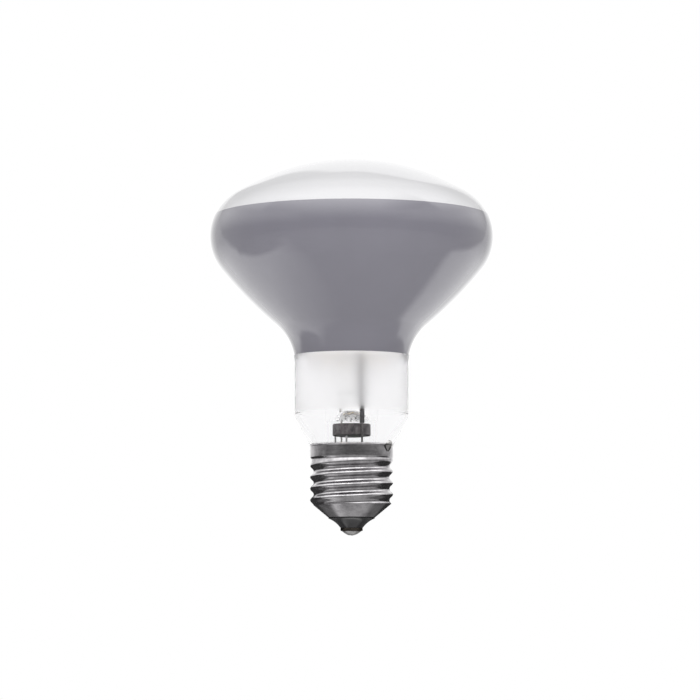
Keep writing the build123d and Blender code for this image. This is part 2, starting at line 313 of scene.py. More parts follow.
coatTints = {
    "front": (0.99, 0.985, 1.01),
    "mirror": (0.975, 0.95, 1.11),
    "neck": (1.0, 0.995, 1.01),
}
# less than solid glass has, because the walls are thin
glassBending = {"neck": 1.07, "frost": 1.2, "stem": 1.05, "press": 1.12}


def coatAndShadeRamp(tree, tint, shadeLevels):
    # the levels are (height in mm, brightness), painted shade by height laid on the coat's tint
    shades = [(height, tuple(min(level * part, 1.0) for part in tint)) for height, level in shadeLevels]
    return heightRamp(tree, shades)


def makeFrontFrost():
    # painted shade: a slightly darker band runs round the front above its edge
    finish, tree, shader = newFinish("frontFrost")
    shadeLevels = [(101, 0.68), (102.5, 0.675), (105.5, 0.62), (110, 0.66), (119.75, 0.7)]
    coatAndShade = coatAndShadeRamp(tree, coatTints["front"], shadeLevels)
    grain = noise(tree, objectPlace(tree), 900, 3, 0.6)
    clouds = noise(tree, objectPlace(tree), 38, 3, 0.5)
    mottled = ramp(tree, calc(tree, "MULTIPLY", grain, clouds), [(0.1, 0.965), (0.5, 1.0)])
    tree.links.new(blend(tree, "MULTIPLY", 1.0, coatAndShade, mottled), shader.inputs["Base Color"])
    tree.links.new(rescale(tree, grain, 0.3, 0.7, 0.05, 0.09), shader.inputs["Roughness"])
    shader.inputs["IOR"].default_value = 1.5
    glaze(shader, 1.0)
    bump(tree, shader, clouds, 0.02, 0.001)
    return finish


def makeGreyMirror():
    finish, tree, shader = newFinish("greyMirror")
    # painted shade: the grey coat is darkest at its lower edge and varies a little with height
    shadeLevels = [(57, 0.2), (66, 0.22), (85, 0.225), (92, 0.22), (101, 0.225)]
    coatAndShade = coatAndShadeRamp(tree, coatTints["mirror"], shadeLevels)
    streaks = noise(tree, objectPlace(tree, (60, 60, 9)), 1, 4, 0.55)
    grain = noise(tree, objectPlace(tree), 700, 2, 0.6)
    drawn = ramp(tree, streaks, [(0.3, 0.95), (0.7, 1.0)])
    tree.links.new(blend(tree, "MULTIPLY", 1.0, coatAndShade, drawn), shader.inputs["Base Color"])
    tree.links.new(rescale(tree, grain, 0.3, 0.7, 0.05, 0.08), shader.inputs["Roughness"])
    shader.inputs["IOR"].default_value = 1.5
    glaze(shader, 1.0)
    bump(tree, shader, streaks, 0.02, 0.001)
    return finish


def makeNeckFrost(form):
    # the frost thins out towards the clear end
    finish, tree, shader = newFinish("neckFrost")
    low, high = form["frostEdgeZ"], form["mirrorEdgeZ"]
    # painted shade: the neck frost gets darker towards the mirror edge, under the overhanging head
    coatAndShade = coatAndShadeRamp(tree, coatTints["neck"], [(38, 1.0), (50, 0.995), (55, 0.985), (high, 0.95)])
    grain = noise(tree, objectPlace(tree), 800, 3, 0.6)
    mottled = ramp(tree, grain, [(0.3, 0.99), (0.7, 1.0)])
    tree.links.new(blend(tree, "MULTIPLY", 1.0, coatAndShade, mottled), shader.inputs["Base Color"])
    frost = heightRamp(tree, [(low, 0.15), (low + 0.8, 0.4), (low + 1.7, 0.72), (44, 0.92), (high, 1.0)])
    tree.links.new(blend(tree, "MULTIPLY", 1.0, frost, mottled), shader.inputs["Roughness"])
    clear = heightRamp(tree, [(low, 1.0), (high - 2, 1.0), (high, 0.6)])
    tree.links.new(clear, shader.inputs["Transmission Weight"])
    shader.inputs["IOR"].default_value = glassBending["frost"]
    glaze(shader, 0.5)
    return finish


def makeNeckGlass(name, dark, light, bending, gloss):
    finish, tree, shader = newFinish(name)
    waves = noise(tree, objectPlace(tree, (40, 40, 18)), 1, 2, 0.5)
    tree.links.new(ramp(tree, waves, [(0.3, dark), (0.7, light)]), shader.inputs["Base Color"])
    shader.inputs["Roughness"].default_value = 0.01
    shader.inputs["IOR"].default_value = bending
    shader.inputs["Transmission Weight"].default_value = 1.0
    glaze(shader, gloss)
    return finish


def makeInnerMirror():
    finish, tree, shader = newFinish("innerMirror")
    clouds = noise(tree, objectPlace(tree), 60, 4, 0.5)
    colour = ramp(tree, clouds, [(0.3, (0.94, 0.942, 0.945)), (0.7, (0.97, 0.97, 0.972))])
    tree.links.new(colour, shader.inputs["Base Color"])
    shader.inputs["Metallic"].default_value = 0.15
    tree.links.new(rescale(tree, clouds, 0.3, 0.7, 0.1, 0.2), shader.inputs["Roughness"])
    return finish


def coatBulb(bulb, form):
    outerTints = (0.952, 0.95, 0.956), (0.97, 0.968, 0.974)
    innerTints = (0.985, 0.983, 0.988), (0.995, 0.995, 0.998)
    finishes = [
        makeFrontFrost(),
        makeGreyMirror(),
        makeNeckGlass("neckGlass", *outerTints, glassBending["neck"], 0.2),
        makeNeckGlass("neckInside", *innerTints, glassBending["neck"], 0.0),
        makeInnerMirror(),
        makeNeckFrost(form),
        makeNeckGlass("frostInside", *innerTints, glassBending["frost"], 0.0),
    ]
    front, mirror, neck, neckInside, innerMirror, frost, frostInside = range(len(finishes))
    wear(bulb, *finishes)
    for face in bulb.data.polygons:
        height = face.center.z / mm
        heart = min(height, form["widestZ"]) * mm
        outside = face.normal.dot(face.center) > face.normal.z * heart
        if height < form["seatZ"] + 0.2 and abs(face.normal.z) > 0.9:
            outside = True  # the seat and the end of the tail face down
        if height > form["frontEdgeZ"]:
            face.material_index = front
        elif height > form["mirrorEdgeZ"]:
            face.material_index = mirror if outside else innerMirror
        elif height > form["frostEdgeZ"]:
            face.material_index = frost if outside else frostInside
        else:
            face.material_index = neck if outside else neckInside


bulb = buildBulb(bulbForm)
coatBulb(bulb, bulbForm)
fitPiece(bulb, "coated_glass", "glass_bulb")
print("bulb:", len(bulb.data.polygons), "faces")


# rolled screw cap
capForm = {
    "pitch": 25.4 / 7,
    "crestRadius": 13.05,
    "rootRadius": 11.95,
    "footRadius": 7.3,
    "footBore": 6.83,
    "footBend": 1.0,
    "bore": 11.65,
    "collarRadius": 13.1,
    "collarBore": 12.8,
    "lipRadius": 13.3,
    "shellZ": 5.75,
    "threadZ": 10.55,
    "collarZ": 23.45,
    "runOutZ": 24.6,
    "rimZ": 28.75,
    "rimHeight": 0.7,
    "collarStep": 0.15,
    "boreDrop": 0.4,
    "coneBoreHeight": 4.0,
    "crestPower": 1.25,  # above 1 the crests are narrower than the roots
    "runOutLength": 2.0,  # over this height below the collar the thread gets shallower
    "runOutShare": 0.6,
    "notchAngle": -30.0,
    "notchWidth": 1.2,
    "notchDepth": 1.0,
    "coneParts": 30,
    "threadParts": 94,
    "turns": 240,
}


def buildCap(form):
    # the lower edge of the cone is rolled under
    slope = atan2(form["threadZ"] - form["shellZ"], form["crestRadius"] - form["footRadius"])
    edgeRadius = form["footRadius"] - form["footBend"] * tan(slope / 2)
    cap = startOutline("capShellSkin", edgeRadius, form["shellZ"])
    arcTo(edgeRadius, form["shellZ"] + form["footBend"], -degrees(slope), 6)
    lineTo(form["crestRadius"], form["threadZ"], form["coneParts"])
    lineTo(form["crestRadius"], form["runOutZ"], form["threadParts"])
    collarFootZ = form["runOutZ"] + form["collarStep"]
    lineTo(form["collarRadius"], collarFootZ)
    lineTo(form["collarRadius"], form["rimZ"] - form["rimHeight"], 6)
    # rolled lip, round outside
    lipBend = form["rimHeight"] / 2
    lipCentre = form["lipRadius"] - lipBend
    lipTurn = acos((form["collarRadius"] - lipCentre) / lipBend)
    lineTo(form["collarRadius"], form["rimZ"] - lipBend - lipBend * sin(lipTurn))
    arcTo(lipCentre, form["rimZ"] - lipBend, -90 - degrees(lipTurn), 12)
    # down the inside
    lineTo(form["collarBore"], form["rimZ"])
    lineTo(form["collarBore"], collarFootZ, 3)
    lineTo(form["bore"], form["collarZ"] - form["boreDrop"], 2)
    lineTo(form["bore"], form["shellZ"] + form["coneBoreHeight"], 4)
    lineTo(form["footBore"], form["shellZ"], 3)
    lineTo(edgeRadius, form["shellZ"])
    turnRound(form["turns"])
    rollThread(cap, form)
    return cap


def rollThread(cap, form):
    # the helical crest is trimmed by the cone below and runs out into the collar above
    slope = (form["crestRadius"] - form["footRadius"]) / (form["threadZ"] - form["shellZ"])
    depth = form["crestRadius"] - form["rootRadius"]
    notchZ = form["rimZ"] - form["notchDepth"]
    for point in cap.data.vertices:
        reach = hypot(point.co.x, point.co.y) / mm
        height = point.co.z / mm
        angle = atan2(point.co.y, point.co.x)
        newReach = reach
        cone = min(form["footRadius"] + slope * (height - form["shellZ"]), form["crestRadius"])
        if height < form["runOutZ"] - 0.01 and reach > cone - 0.1:  # the outer wall below the collar
            crest = 0.5 + 0.5 * cos(2 * pi * (height - form["shellZ"]) / form["pitch"] - angle)
            rolled = min(cone, form["rootRadius"] + depth * crest ** form["crestPower"])
            nearCollar = min(max((height - form["collarZ"]) / form["runOutLength"] + 1, 0), 1)
            rolled += (cone - rolled) * nearCollar * form["runOutShare"]
            collar = form["rootRadius"] + height - form["collarZ"]
            newReach = max(rolled, min(collar, form["collarRadius"]))
        # the rim is cut down where the side wire comes out
        fromNotch = abs(angle - radians(form["notchAngle"])) * form["lipRadius"]
        if fromNotch < form["notchWidth"] / 2 and height > notchZ:
            point.co.z = notchZ * mm
            newReach = min(reach, form["collarRadius"])
        point.co.x *= newReach / reach
        point.co.y *= newReach / reach
    bpy.ops.object.mode_set(mode="EDIT")
    bpy.ops.mesh.select_all(action="SELECT")
    bpy.ops.mesh.remove_doubles(threshold=mergeWithin)
    bpy.ops.object.mode_set(mode="OBJECT")


def makePlatedShell():
    finish, tree, shader = newFinish("platedShell")
    rolled = noise(tree, objectPlace(tree, (120, 120, 900)), 1, 5, 0.6)
    stains = noise(tree, objectPlace(tree), 240, 6, 0.72)
    colour = ramp(tree, stains, [(0.32, (0.38, 0.366, 0.38)), (0.6, (0.66, 0.642, 0.66))])
    tree.links.new(colour, shader.inputs["Base Color"])
    shader.inputs["Metallic"].default_value = 1.0
    tree.links.new(rescale(tree, rolled, 0.3, 0.7, 0.14, 0.26), shader.inputs["Roughness"])
    bump(tree, shader, rolled, 0.08, 0.0005)
    return finish


cap = buildCap(capForm)
wear(cap, makePlatedShell())
fitPiece(cap, "plated_shell", "cap_shell")
print("cap:", len(cap.data.polygons), "faces")


# glass stem: trumpet tube, round shoulder over an arched hollow, flat press and a post
stemForm = {
    "flareRadius": 11.2,
    "radius": 8.35,
    "wall": 0.9,
    "tailZ": 25.2,
    "tubeZ": 29.7,
    "archZ": 36.05,
    "archRadius": 5.2,
    "archHeight": 3.6,
    "archSpare": 0.05,
    "archParts": 18,
    "shoulderZ": 44.6,
    "shoulderBend": 2.6,
    "pressWidth": 15.4,
    "pressThickness": 3.2,
    "pressBend": 1.2,
    "pressParts": 5,
    "pressZ": 58.0,
    "pressAngle": -60.0,
    "postRadius": 1.5,
    "postZ": 102.05,
    "postWaist": 0.85,  # share of the radius between the press and the bead
    "postTaper": 6.0,
    "postRoot": 1.0,  # how deep it stands in the press
    "postTurns": 32,
    "sharp": 40,
    "turns": 96,
}


def combine(piece, tool, operation):
    deselectAll()
    bpy.context.view_layer.objects.active = piece
    piece.select_set(True)
    joint = piece.modifiers.new("joint", "BOOLEAN")
    joint.operation = operation
    joint.solver = "EXACT"
    joint.object = tool
    bpy.ops.object.modifier_apply(modifier=joint.name)
    bpy.data.objects.remove(tool)


def buildStem(form):
    topZ = form["shoulderZ"] + form["shoulderBend"]
    bend = form["shoulderBend"]
    bore = form["radius"] - form["wall"]
    flare = form["flareRadius"] - form["radius"]
    rise = form["tubeZ"] - form["tailZ"]
    flareBend = (flare**2 + rise**2) / (2 * flare)
    flareTurn = degrees(asin(rise / flareBend))
    stem = startOutline("glassStemSkin", 0, topZ)
    lineTo(form["radius"] - bend, topZ, 4)
    arcTo(form["radius"] - bend, topZ - bend, 90, 10)
    lineTo(form["radius"], form["tubeZ"], 6)
    arcTo(form["radius"] + flareBend, form["tubeZ"], -flareTurn, 12)
    lineTo(form["flareRadius"] - form["wall"], form["tailZ"])
    arcTo(bore + flareBend, form["tubeZ"], flareTurn, 12)
    lineTo(bore, form["archZ"], 5)
    lineTo(form["archRadius"], form["archZ"], 2)
    for step in range(1, form["archParts"] + 1):
        turned = pi / 2 * step / form["archParts"]
        lineTo(form["archRadius"] * cos(turned), form["archZ"] + form["archHeight"] * sin(turned))
    turnRound(form["turns"])

    # flat press across the two leads
    deselectAll()
    pressHeight = form["pressZ"] - form["shoulderZ"]
    bpy.ops.mesh.primitive_cube_add(size=mm)
    press = bpy.context.object
    bpy.ops.object.mode_set(mode="EDIT")
    bpy.ops.mesh.select_all(action="SELECT")
    bpy.ops.transform.resize(value=(form["pressWidth"], form["pressThickness"], pressHeight))
    bpy.ops.transform.translate(value=(0, 0, (form["shoulderZ"] + pressHeight / 2) * mm))
    bpy.ops.object.mode_set(mode="OBJECT")
    rounding = press.modifiers.new("rounding", "BEVEL")
    rounding.width = form["pressBend"] * mm
    rounding.segments = form["pressParts"]
    bpy.ops.object.modifier_apply(modifier=rounding.name)
    press.rotation_euler.z = radians(form["pressAngle"])
    bpy.ops.object.transform_apply(location=True, rotation=True, scale=True)
    combine(stem, press, "UNION")

    # post with a round melted bead at its end
    bead = form["postRadius"]
    waist = bead * form["postWaist"]
    post = startOutline("stemPost", 0, form["pressZ"] - form["postRoot"])
    lineTo(bead, form["pressZ"] - form["postRoot"])
    lineTo(waist, form["pressZ"] + form["postTaper"], 4)
    lineTo(waist, form["postZ"] - 3 * bead, 8)
    lineTo(bead, form["postZ"] - 2 * bead, 3)
    lineTo(bead, form["postZ"] - bead)
    arcTo(0, form["postZ"] - bead, -90, 8)
    turnRound(form["postTurns"])
    combine(stem, post, "UNION")
    bpy.ops.object.shade_smooth_by_angle(angle=radians(form["sharp"]))
    return stem


def dressStemWithArchShade(stem, form, clear, shadedArch, solid):
    # the arch gets painted shade, and the shoulder and what stands on it are solid
    wear(stem, clear, shadedArch, solid)
    spare = form["archSpare"]
    for face in stem.data.polygons:
        height = face.center.z / mm
        if height > form["shoulderZ"]:
            face.material_index = 2
        inArch = form["archZ"] - spare < height < form["archZ"] + form["archHeight"] + spare
        if inArch and hypot(face.center.x, face.center.y) / mm < form["archRadius"] + spare:
            face.material_index = 1


# black glass foot, contact and solder under the cap
footForm = {
    "edgeRadius": 7.3,
    "edgeZ": 5.5,
    "topZ": 5.7,
    "lockRadius": 6.73,
    "lockTopRadius": 9.89,
    "lockTopZ": 8.35,
    "bottomRadius": 3.5,
    "bottomZ": 2.5,
    "hollow": 0.35,
    "rivetRadius": 1.6,
    "rivetTopZ": 8.75,
    "rivetBend": 0.3,
    "contactZ": 1.55,
    "contactBend": 0.25,
    "solderRadius": 3.1,
    "solderZ": 1.5,
    "solderInset": 0.12,
    "dentSize": 1.6,
    "dentDepth": 0.28,
    "fit": 0.05,
    "turns": 120,
}


def buildFoot(form):
    bore = form["rivetRadius"] + form["fit"]
    foot = startOutline("capInsulatorSkin", bore, form["bottomZ"])
    lineTo(form["bottomRadius"], form["bottomZ"], 3)
    # slightly hollow flare up to the shell
    across = form["edgeRadius"] - form["bottomRadius"]
    up = form["edgeZ"] - form["bottomZ"]
    chord = hypot(across, up)
    bend = (chord**2 / 4 + form["hollow"] ** 2) / (2 * form["hollow"])
    offset = (bend - form["hollow"]) / chord
    centreReach = form["bottomRadius"] + across / 2 + up * offset
    centreHeight = form["bottomZ"] + up / 2 - across * offset
    arcTo(centreReach, centreHeight, degrees(2 * asin(chord / 2 / bend)), 16)
    lineTo(form["edgeRadius"], form["topZ"])
    lineTo(form["lockRadius"], form["topZ"])
    lineTo(form["lockTopRadius"], form["lockTopZ"], 4)
    lineTo(bore, form["lockTopZ"], 3)
    lineTo(bore, form["bottomZ"], 3)
    turnRound(form["turns"], 30)
    return foot


def buildContact(form):
    bend, edge = form["contactBend"], form["contactBend"] / 2
    topZ = form["bottomZ"] - form["fit"]
    rivetBend = form["rivetBend"]
    contact = startOutline("centreContactSkin", 0, form["contactZ"])
    lineTo(form["bottomRadius"] - bend, form["contactZ"], 4)
    arcTo(form["bottomRadius"] - bend, form["contactZ"] + bend, -90, 6)
    lineTo(form["bottomRadius"], topZ - edge)
    arcTo(form["bottomRadius"] - edge, topZ - edge, -90, 4)
    lineTo(form["rivetRadius"], topZ, 2)
    lineTo(form["rivetRadius"], form["rivetTopZ"] - rivetBend, 4)
    arcTo(form["rivetRadius"] - rivetBend, form["rivetTopZ"] - rivetBend, -90, 4)
    lineTo(0, form["rivetTopZ"], 3)
    turnRound(form["turns"])
    return contact


def buildSolder(form):
    # a domed blob, a little uneven where it set
    bend = (form["solderRadius"] ** 2 + form["solderZ"] ** 2) / (2 * form["solderZ"])
    blob = startOutline("contactSolderSkin", 0, 0)
    arcTo(0, bend, -degrees(asin(form["solderRadius"] / bend)), 22)
    lineTo(form["solderRadius"] - form["solderInset"], form["solderZ"])
    lineTo(0, form["solderZ"], 6)
    turnRound(form["turns"], 50)
    uneven = bpy.data.textures.new("solderUneven", "CLOUDS")
    uneven.noise_scale = form["dentSize"] * mm
    dents = blob.modifiers.new("dents", "DISPLACE")
    dents.texture = uneven
    dents.texture_coords = "LOCAL"
    dents.mid_level = 0.0
    dents.strength = -form["dentDepth"] * mm
    bpy.ops.object.modifier_apply(modifier=dents.name)
    return blob


# solder drop that hangs over the rim of the cap
dropForm = {
    "radius": 1.75,
    "length": 3.0,
    "sink": 0.55,  # how far its middle lies inside the lip
    "fit": 0.05,
    "sharp": 60,
    "turns": 64,
    "bodyTurns": 240,
}


def buildDrop(form, cap, bulb):
    lip = cap["lipRadius"] + form["fit"]
    centreReach = lip - form["sink"]
    centreZ = cap["rimZ"] - cap["rimHeight"] / 2
    slope = asin(form["radius"] / form["length"])
    flank = form["length"] * cos(slope)
    drop = startOutline("sideSolderSkin", 0, centreZ - form["length"])
    lineTo(flank * sin(slope), pen["height"] + flank * cos(slope), 10)
    arcTo(0, centreZ, -90 - degrees(slope), 24)
    turnRound(form["turns"], form["sharp"])
    side = radians(cap["notchAngle"])
    bpy.ops.object.mode_set(mode="EDIT")
    bpy.ops.mesh.select_all(action="SELECT")
    bpy.ops.transform.translate(value=(centreReach * cos(side) * mm, centreReach * sin(side) * mm, 0))
    # rim and glass behind it, turned to cut the drop to its seat
    body = startOutline("lampBody", 0, cap["collarZ"])
    lineTo(lip, cap["collarZ"])
    lineTo(lip, cap["rimZ"], 4)
    lineTo(bulb["seatRadius"] + form["fit"], bulb["seatZ"])
    lineTo(bulb["neckRadius"] + form["fit"], bulb["neckZ"], 4)
    lineTo(0, bulb["neckZ"])
    turnRound(form["bodyTurns"])
    combine(drop, body, "DIFFERENCE")
    bpy.ops.object.shade_smooth_by_angle(angle=radians(form["sharp"]))
    return drop


# finishes of the cap's foot, the stem and the solids inside
def makeBlackGlass():
    finish, tree, shader = newFinish("blackGlass")
    clouds = noise(tree, objectPlace(tree), 300, 3, 0.5)
    colour = ramp(tree, clouds, [(0.3, (0.008, 0.008, 0.009)), (0.7, (0.016, 0.015, 0.017))])
    tree.links.new(colour, shader.inputs["Base Color"])
    tree.links.new(rescale(tree, clouds, 0.3, 0.7, 0.06, 0.14), shader.inputs["Roughness"])
    shader.inputs["IOR"].default_value = 1.8
    shader.inputs["Specular IOR Level"].default_value = 0.55
    bump(tree, shader, clouds, 0.06, 0.0005)
    return finish


def makeSolder():
    finish, tree, shader = newFinish("solder")
    dull = noise(tree, objectPlace(tree), 700, 4, 0.6)
    colour = ramp(tree, dull, [(0.3, (0.56, 0.55, 0.55)), (0.7, (0.78, 0.77, 0.76))])
    tree.links.new(colour, shader.inputs["Base Color"])
    shader.inputs["Metallic"].default_value = 0.9
    tree.links.new(rescale(tree, dull, 0.3, 0.7, 0.22, 0.4), shader.inputs["Roughness"])
    bump(tree, shader, dull, 0.12, 0.0005)
    return finish


def makeMetal(name, dark, light, lowRough, highRough, scale):
    finish, tree, shader = newFinish(name)
    spots = noise(tree, objectPlace(tree), scale, 4, 0.6)
    tree.links.new(ramp(tree, spots, [(0.3, dark), (0.7, light)]), shader.inputs["Base Color"])
    shader.inputs["Metallic"].default_value = 1.0
    tree.links.new(rescale(tree, spots, 0.3, 0.7, lowRough, highRough), shader.inputs["Roughness"])
    bump(tree, shader, spots, 0.06, 0.0005)
    return finish


def makeMatt(name, dark, light, lowRough, highRough, scale, relief=0.15):
    finish, tree, shader = newFinish(name)
    spots = noise(tree, objectPlace(tree), scale, 5, 0.6)
    tree.links.new(ramp(tree, spots, [(0.35, dark), (0.65, light)]), shader.inputs["Base Color"])
    tree.links.new(rescale(tree, spots, 0.3, 0.7, lowRough, highRough), shader.inputs["Roughness"])
    bump(tree, shader, spots, relief, 0.0005)
    return finish


def makeFerrite():
    finish, tree, shader = newFinish("ferrite")
    spots = noise(tree, objectPlace(tree), 620, 5, 0.7)
    drum = ramp(tree, spots, [(0.35, (0.03, 0.026, 0.028)), (0.62, (0.2, 0.18, 0.185))])
    tin = ramp(tree, spots, [(0.3, (0.7, 0.69, 0.68)), (0.7, (0.86, 0.85, 0.84))])
    drumFootZ = 31.2  # the tinned leads are below it
    low = rescale(tree, heightOf(tree), drumFootZ * mm, (drumFootZ + 0.1) * mm, 1, 0)
    tree.links.new(blend(tree, "MIX", low, drum, tin), shader.inputs["Base Color"])
    tree.links.new(rescale(tree, spots, 0.3, 0.7, 0.4, 0.6), shader.inputs["Roughness"])
    bump(tree, shader, spots, 0.15, 0.0005)
    return finish


def makeClearGlass(name, bending):
    finish, tree, shader = newFinish(name)
    waves = noise(tree, objectPlace(tree), 90, 2, 0.5)
    colour = ramp(tree, waves, [(0.3, (0.98, 0.984, 0.984)), (0.7, (0.995, 0.995, 0.995))])
    tree.links.new(colour, shader.inputs["Base Color"])
    shader.inputs["Roughness"].default_value = 0.0
    shader.inputs["IOR"].default_value = bending
    shader.inputs["Transmission Weight"].default_value = 1.0
    bump(tree, shader, waves, 0.02, 0.001)
    return finish


def makeShadedArchGlass():
    # painted shade: the arched end is darkened and speckled to stand in for the dark lines refraction
    # gives there
    finish, tree, shader = newFinish("shadedArchGlass")
    darkeningNoise = noise(tree, objectPlace(tree), 260, 3, 0.5)
    specks = noise(tree, objectPlace(tree), 1500, 2, 0.6)
    archDarkening = ramp(tree, darkeningNoise, [(0.35, 0.45), (0.65, 0.9)])
    spots = ramp(tree, specks, [(0.36, 0.15), (0.46, 1.0)])
    tree.links.new(blend(tree, "MULTIPLY", 1.0, archDarkening, spots), shader.inputs["Base Color"])
    shader.inputs["Roughness"].default_value = 0.08
    shader.inputs["IOR"].default_value = 1.3
    shader.inputs["Transmission Weight"].default_value = 0.9
    return finish


nickelWire = makeMetal("nickelWire", (0.42, 0.41, 0.40), (0.6, 0.59, 0.57), 0.2, 0.35, 500)
darkWire = makeMetal("darkWire", (0.09, 0.085, 0.085), (0.18, 0.17, 0.165), 0.3, 0.5, 500)
copperWire = makeMetal("copperWire", (0.55, 0.26, 0.14), (0.75, 0.4, 0.24), 0.2, 0.35, 500)
# painted shade: the centre contact is coloured near black for the shade on its underside
shadedContactBrass = makeMetal("shadedContactBrass", (0.07, 0.062, 0.055), (0.16, 0.14, 0.12), 0.3, 0.5, 300)
solder = makeSolder()
dullSolder = makeMetal("dullSolder", (0.3, 0.29, 0.29), (0.58, 0.57, 0.56), 0.1, 0.22, 700)
blackGlass = makeBlackGlass()
ferrite = makeFerrite()
sleeve = makeMatt("sleeve", (0.03, 0.03, 0.033), (0.07, 0.068, 0.07), 0.4, 0.55, 500)
cement = makeMatt("cement", (0.55, 0.53, 0.5), (0.72, 0.7, 0.66), 0.7, 0.9, 700, 0.3)
phosphor = makeMatt("phosphor", (0.82, 0.55, 0.1), (0.9, 0.68, 0.2), 0.5, 0.65, 900)
board = makeMatt("board", (0.05, 0.16, 0.07), (0.08, 0.22, 0.1), 0.35, 0.5, 400)
canSleeve = makeMatt("canSleeve", (0.02, 0.025, 0.05), (0.03, 0.04, 0.08), 0.3, 0.45, 300)
component = makeMatt("component", (0.02, 0.02, 0.021), (0.04, 0.04, 0.042), 0.45, 0.6, 600)
resistorCoat = makeMatt("resistorCoat", (0.3, 0.42, 0.36), (0.4, 0.52, 0.45), 0.35, 0.5, 400)
stemGlass = makeClearGlass("stemGlass", glassBending["stem"])
pressGlass = makeClearGlass("pressGlass", glassBending["press"])
shadedArchGlass = makeShadedArchGlass()

foot = buildFoot(footForm)
wear(foot, blackGlass)
fitPiece(foot, "black_glass", "cap_insulator")
contact = buildContact(footForm)
wear(contact, shadedContactBrass)
fitPiece(contact, "contact_brass", "centre_contact")
blob = buildSolder(footForm)
wear(blob, solder)
fitPiece(blob, "solder", "contact_solder")
drop = buildDrop(dropForm, capForm, bulbForm)
wear(drop, dullSolder)
fitPiece(drop, "solder", "side_solder")
print("foot of the cap: 4 pieces")

stem = buildStem(stemForm)
dressStemWithArchShade(stem, stemForm, stemGlass, shadedArchGlass, pressGlass)
fitPiece(stem, "clear_glass", "glass_stem")
print("stem:", len(stem.data.polygons), "faces")

nodeFinishes = {
    "drum_choke": ferrite,
    "lead_sleeve": sleeve,
    "front_lead_wire": darkWire,
    "back_lead_wire": nickelWire,
    "support_wire": nickelWire,
    "lower_bar_1": nickelWire,
    "lower_bar_2": nickelWire,
    "upper_bar_1": nickelWire,
    "upper_bar_2": nickelWire,
    "neutral_wire": copperWire,
    "basing_cement": cement,
    "driver_board": board,
    "smoothing_capacitor": canSleeve,
    "bridge_rectifier": component,
    "driver_chip": component,
    "fusible_resistor": resistorCoat,
    "led_filament_1": phosphor,
    "led_filament_2": phosphor,
    "led_filament_3": phosphor,
    "led_filament_4": phosphor,
}
for nodeName, finish in nodeFinishes.items():
    wear(nodes[nodeName], finish)
print("solids dressed:", len(nodeFinishes))


# plain white studio, in metres
studio = {
    "floorZ": -0.12,
    "floorSize": 6,
    "floorGlow": 1.14,  # with the share below, the floor is just white to the camera
    "glowShare": 0.6,
    "softLevel": 0.75,  # the room as matt surfaces see it
    "whiteLevel": 1.15,  # backdrop and sweep as gloss sees them
    "farShare": 0.62,  # they are dimmer far off on both sides
    "softboxLevel": 2.5,
    "dimLevel": 0.11,  # front of the room
    "softEdge": 0.06,
    "cameraAway": 1.0,
    "cameraRise": -5.0,
    "frameWidth": 0.2213,
    "sensorWidth": 36,
    "aim": (-0.0005, 0, 0.0587),
}
# half widths of the white backdrop, from straight down (0) to straight up (1)
backdropEnds = {
    "left": [
        (0.21, 0.77), (0.32, 0.86), (0.45, 0.88), (0.62, 0.74),
        (0.68, 0.52), (0.72, 0.33), (0.8, 0.21), (0.9, 0.1),
    ],
    "right": [
        (0.31, 0.86), (0.43, 0.82), (0.57, 0.68), (0.66, 0.46),
        (0.77, 0.43), (0.86, 0.33), (0.9, 0.1),
    ],
}


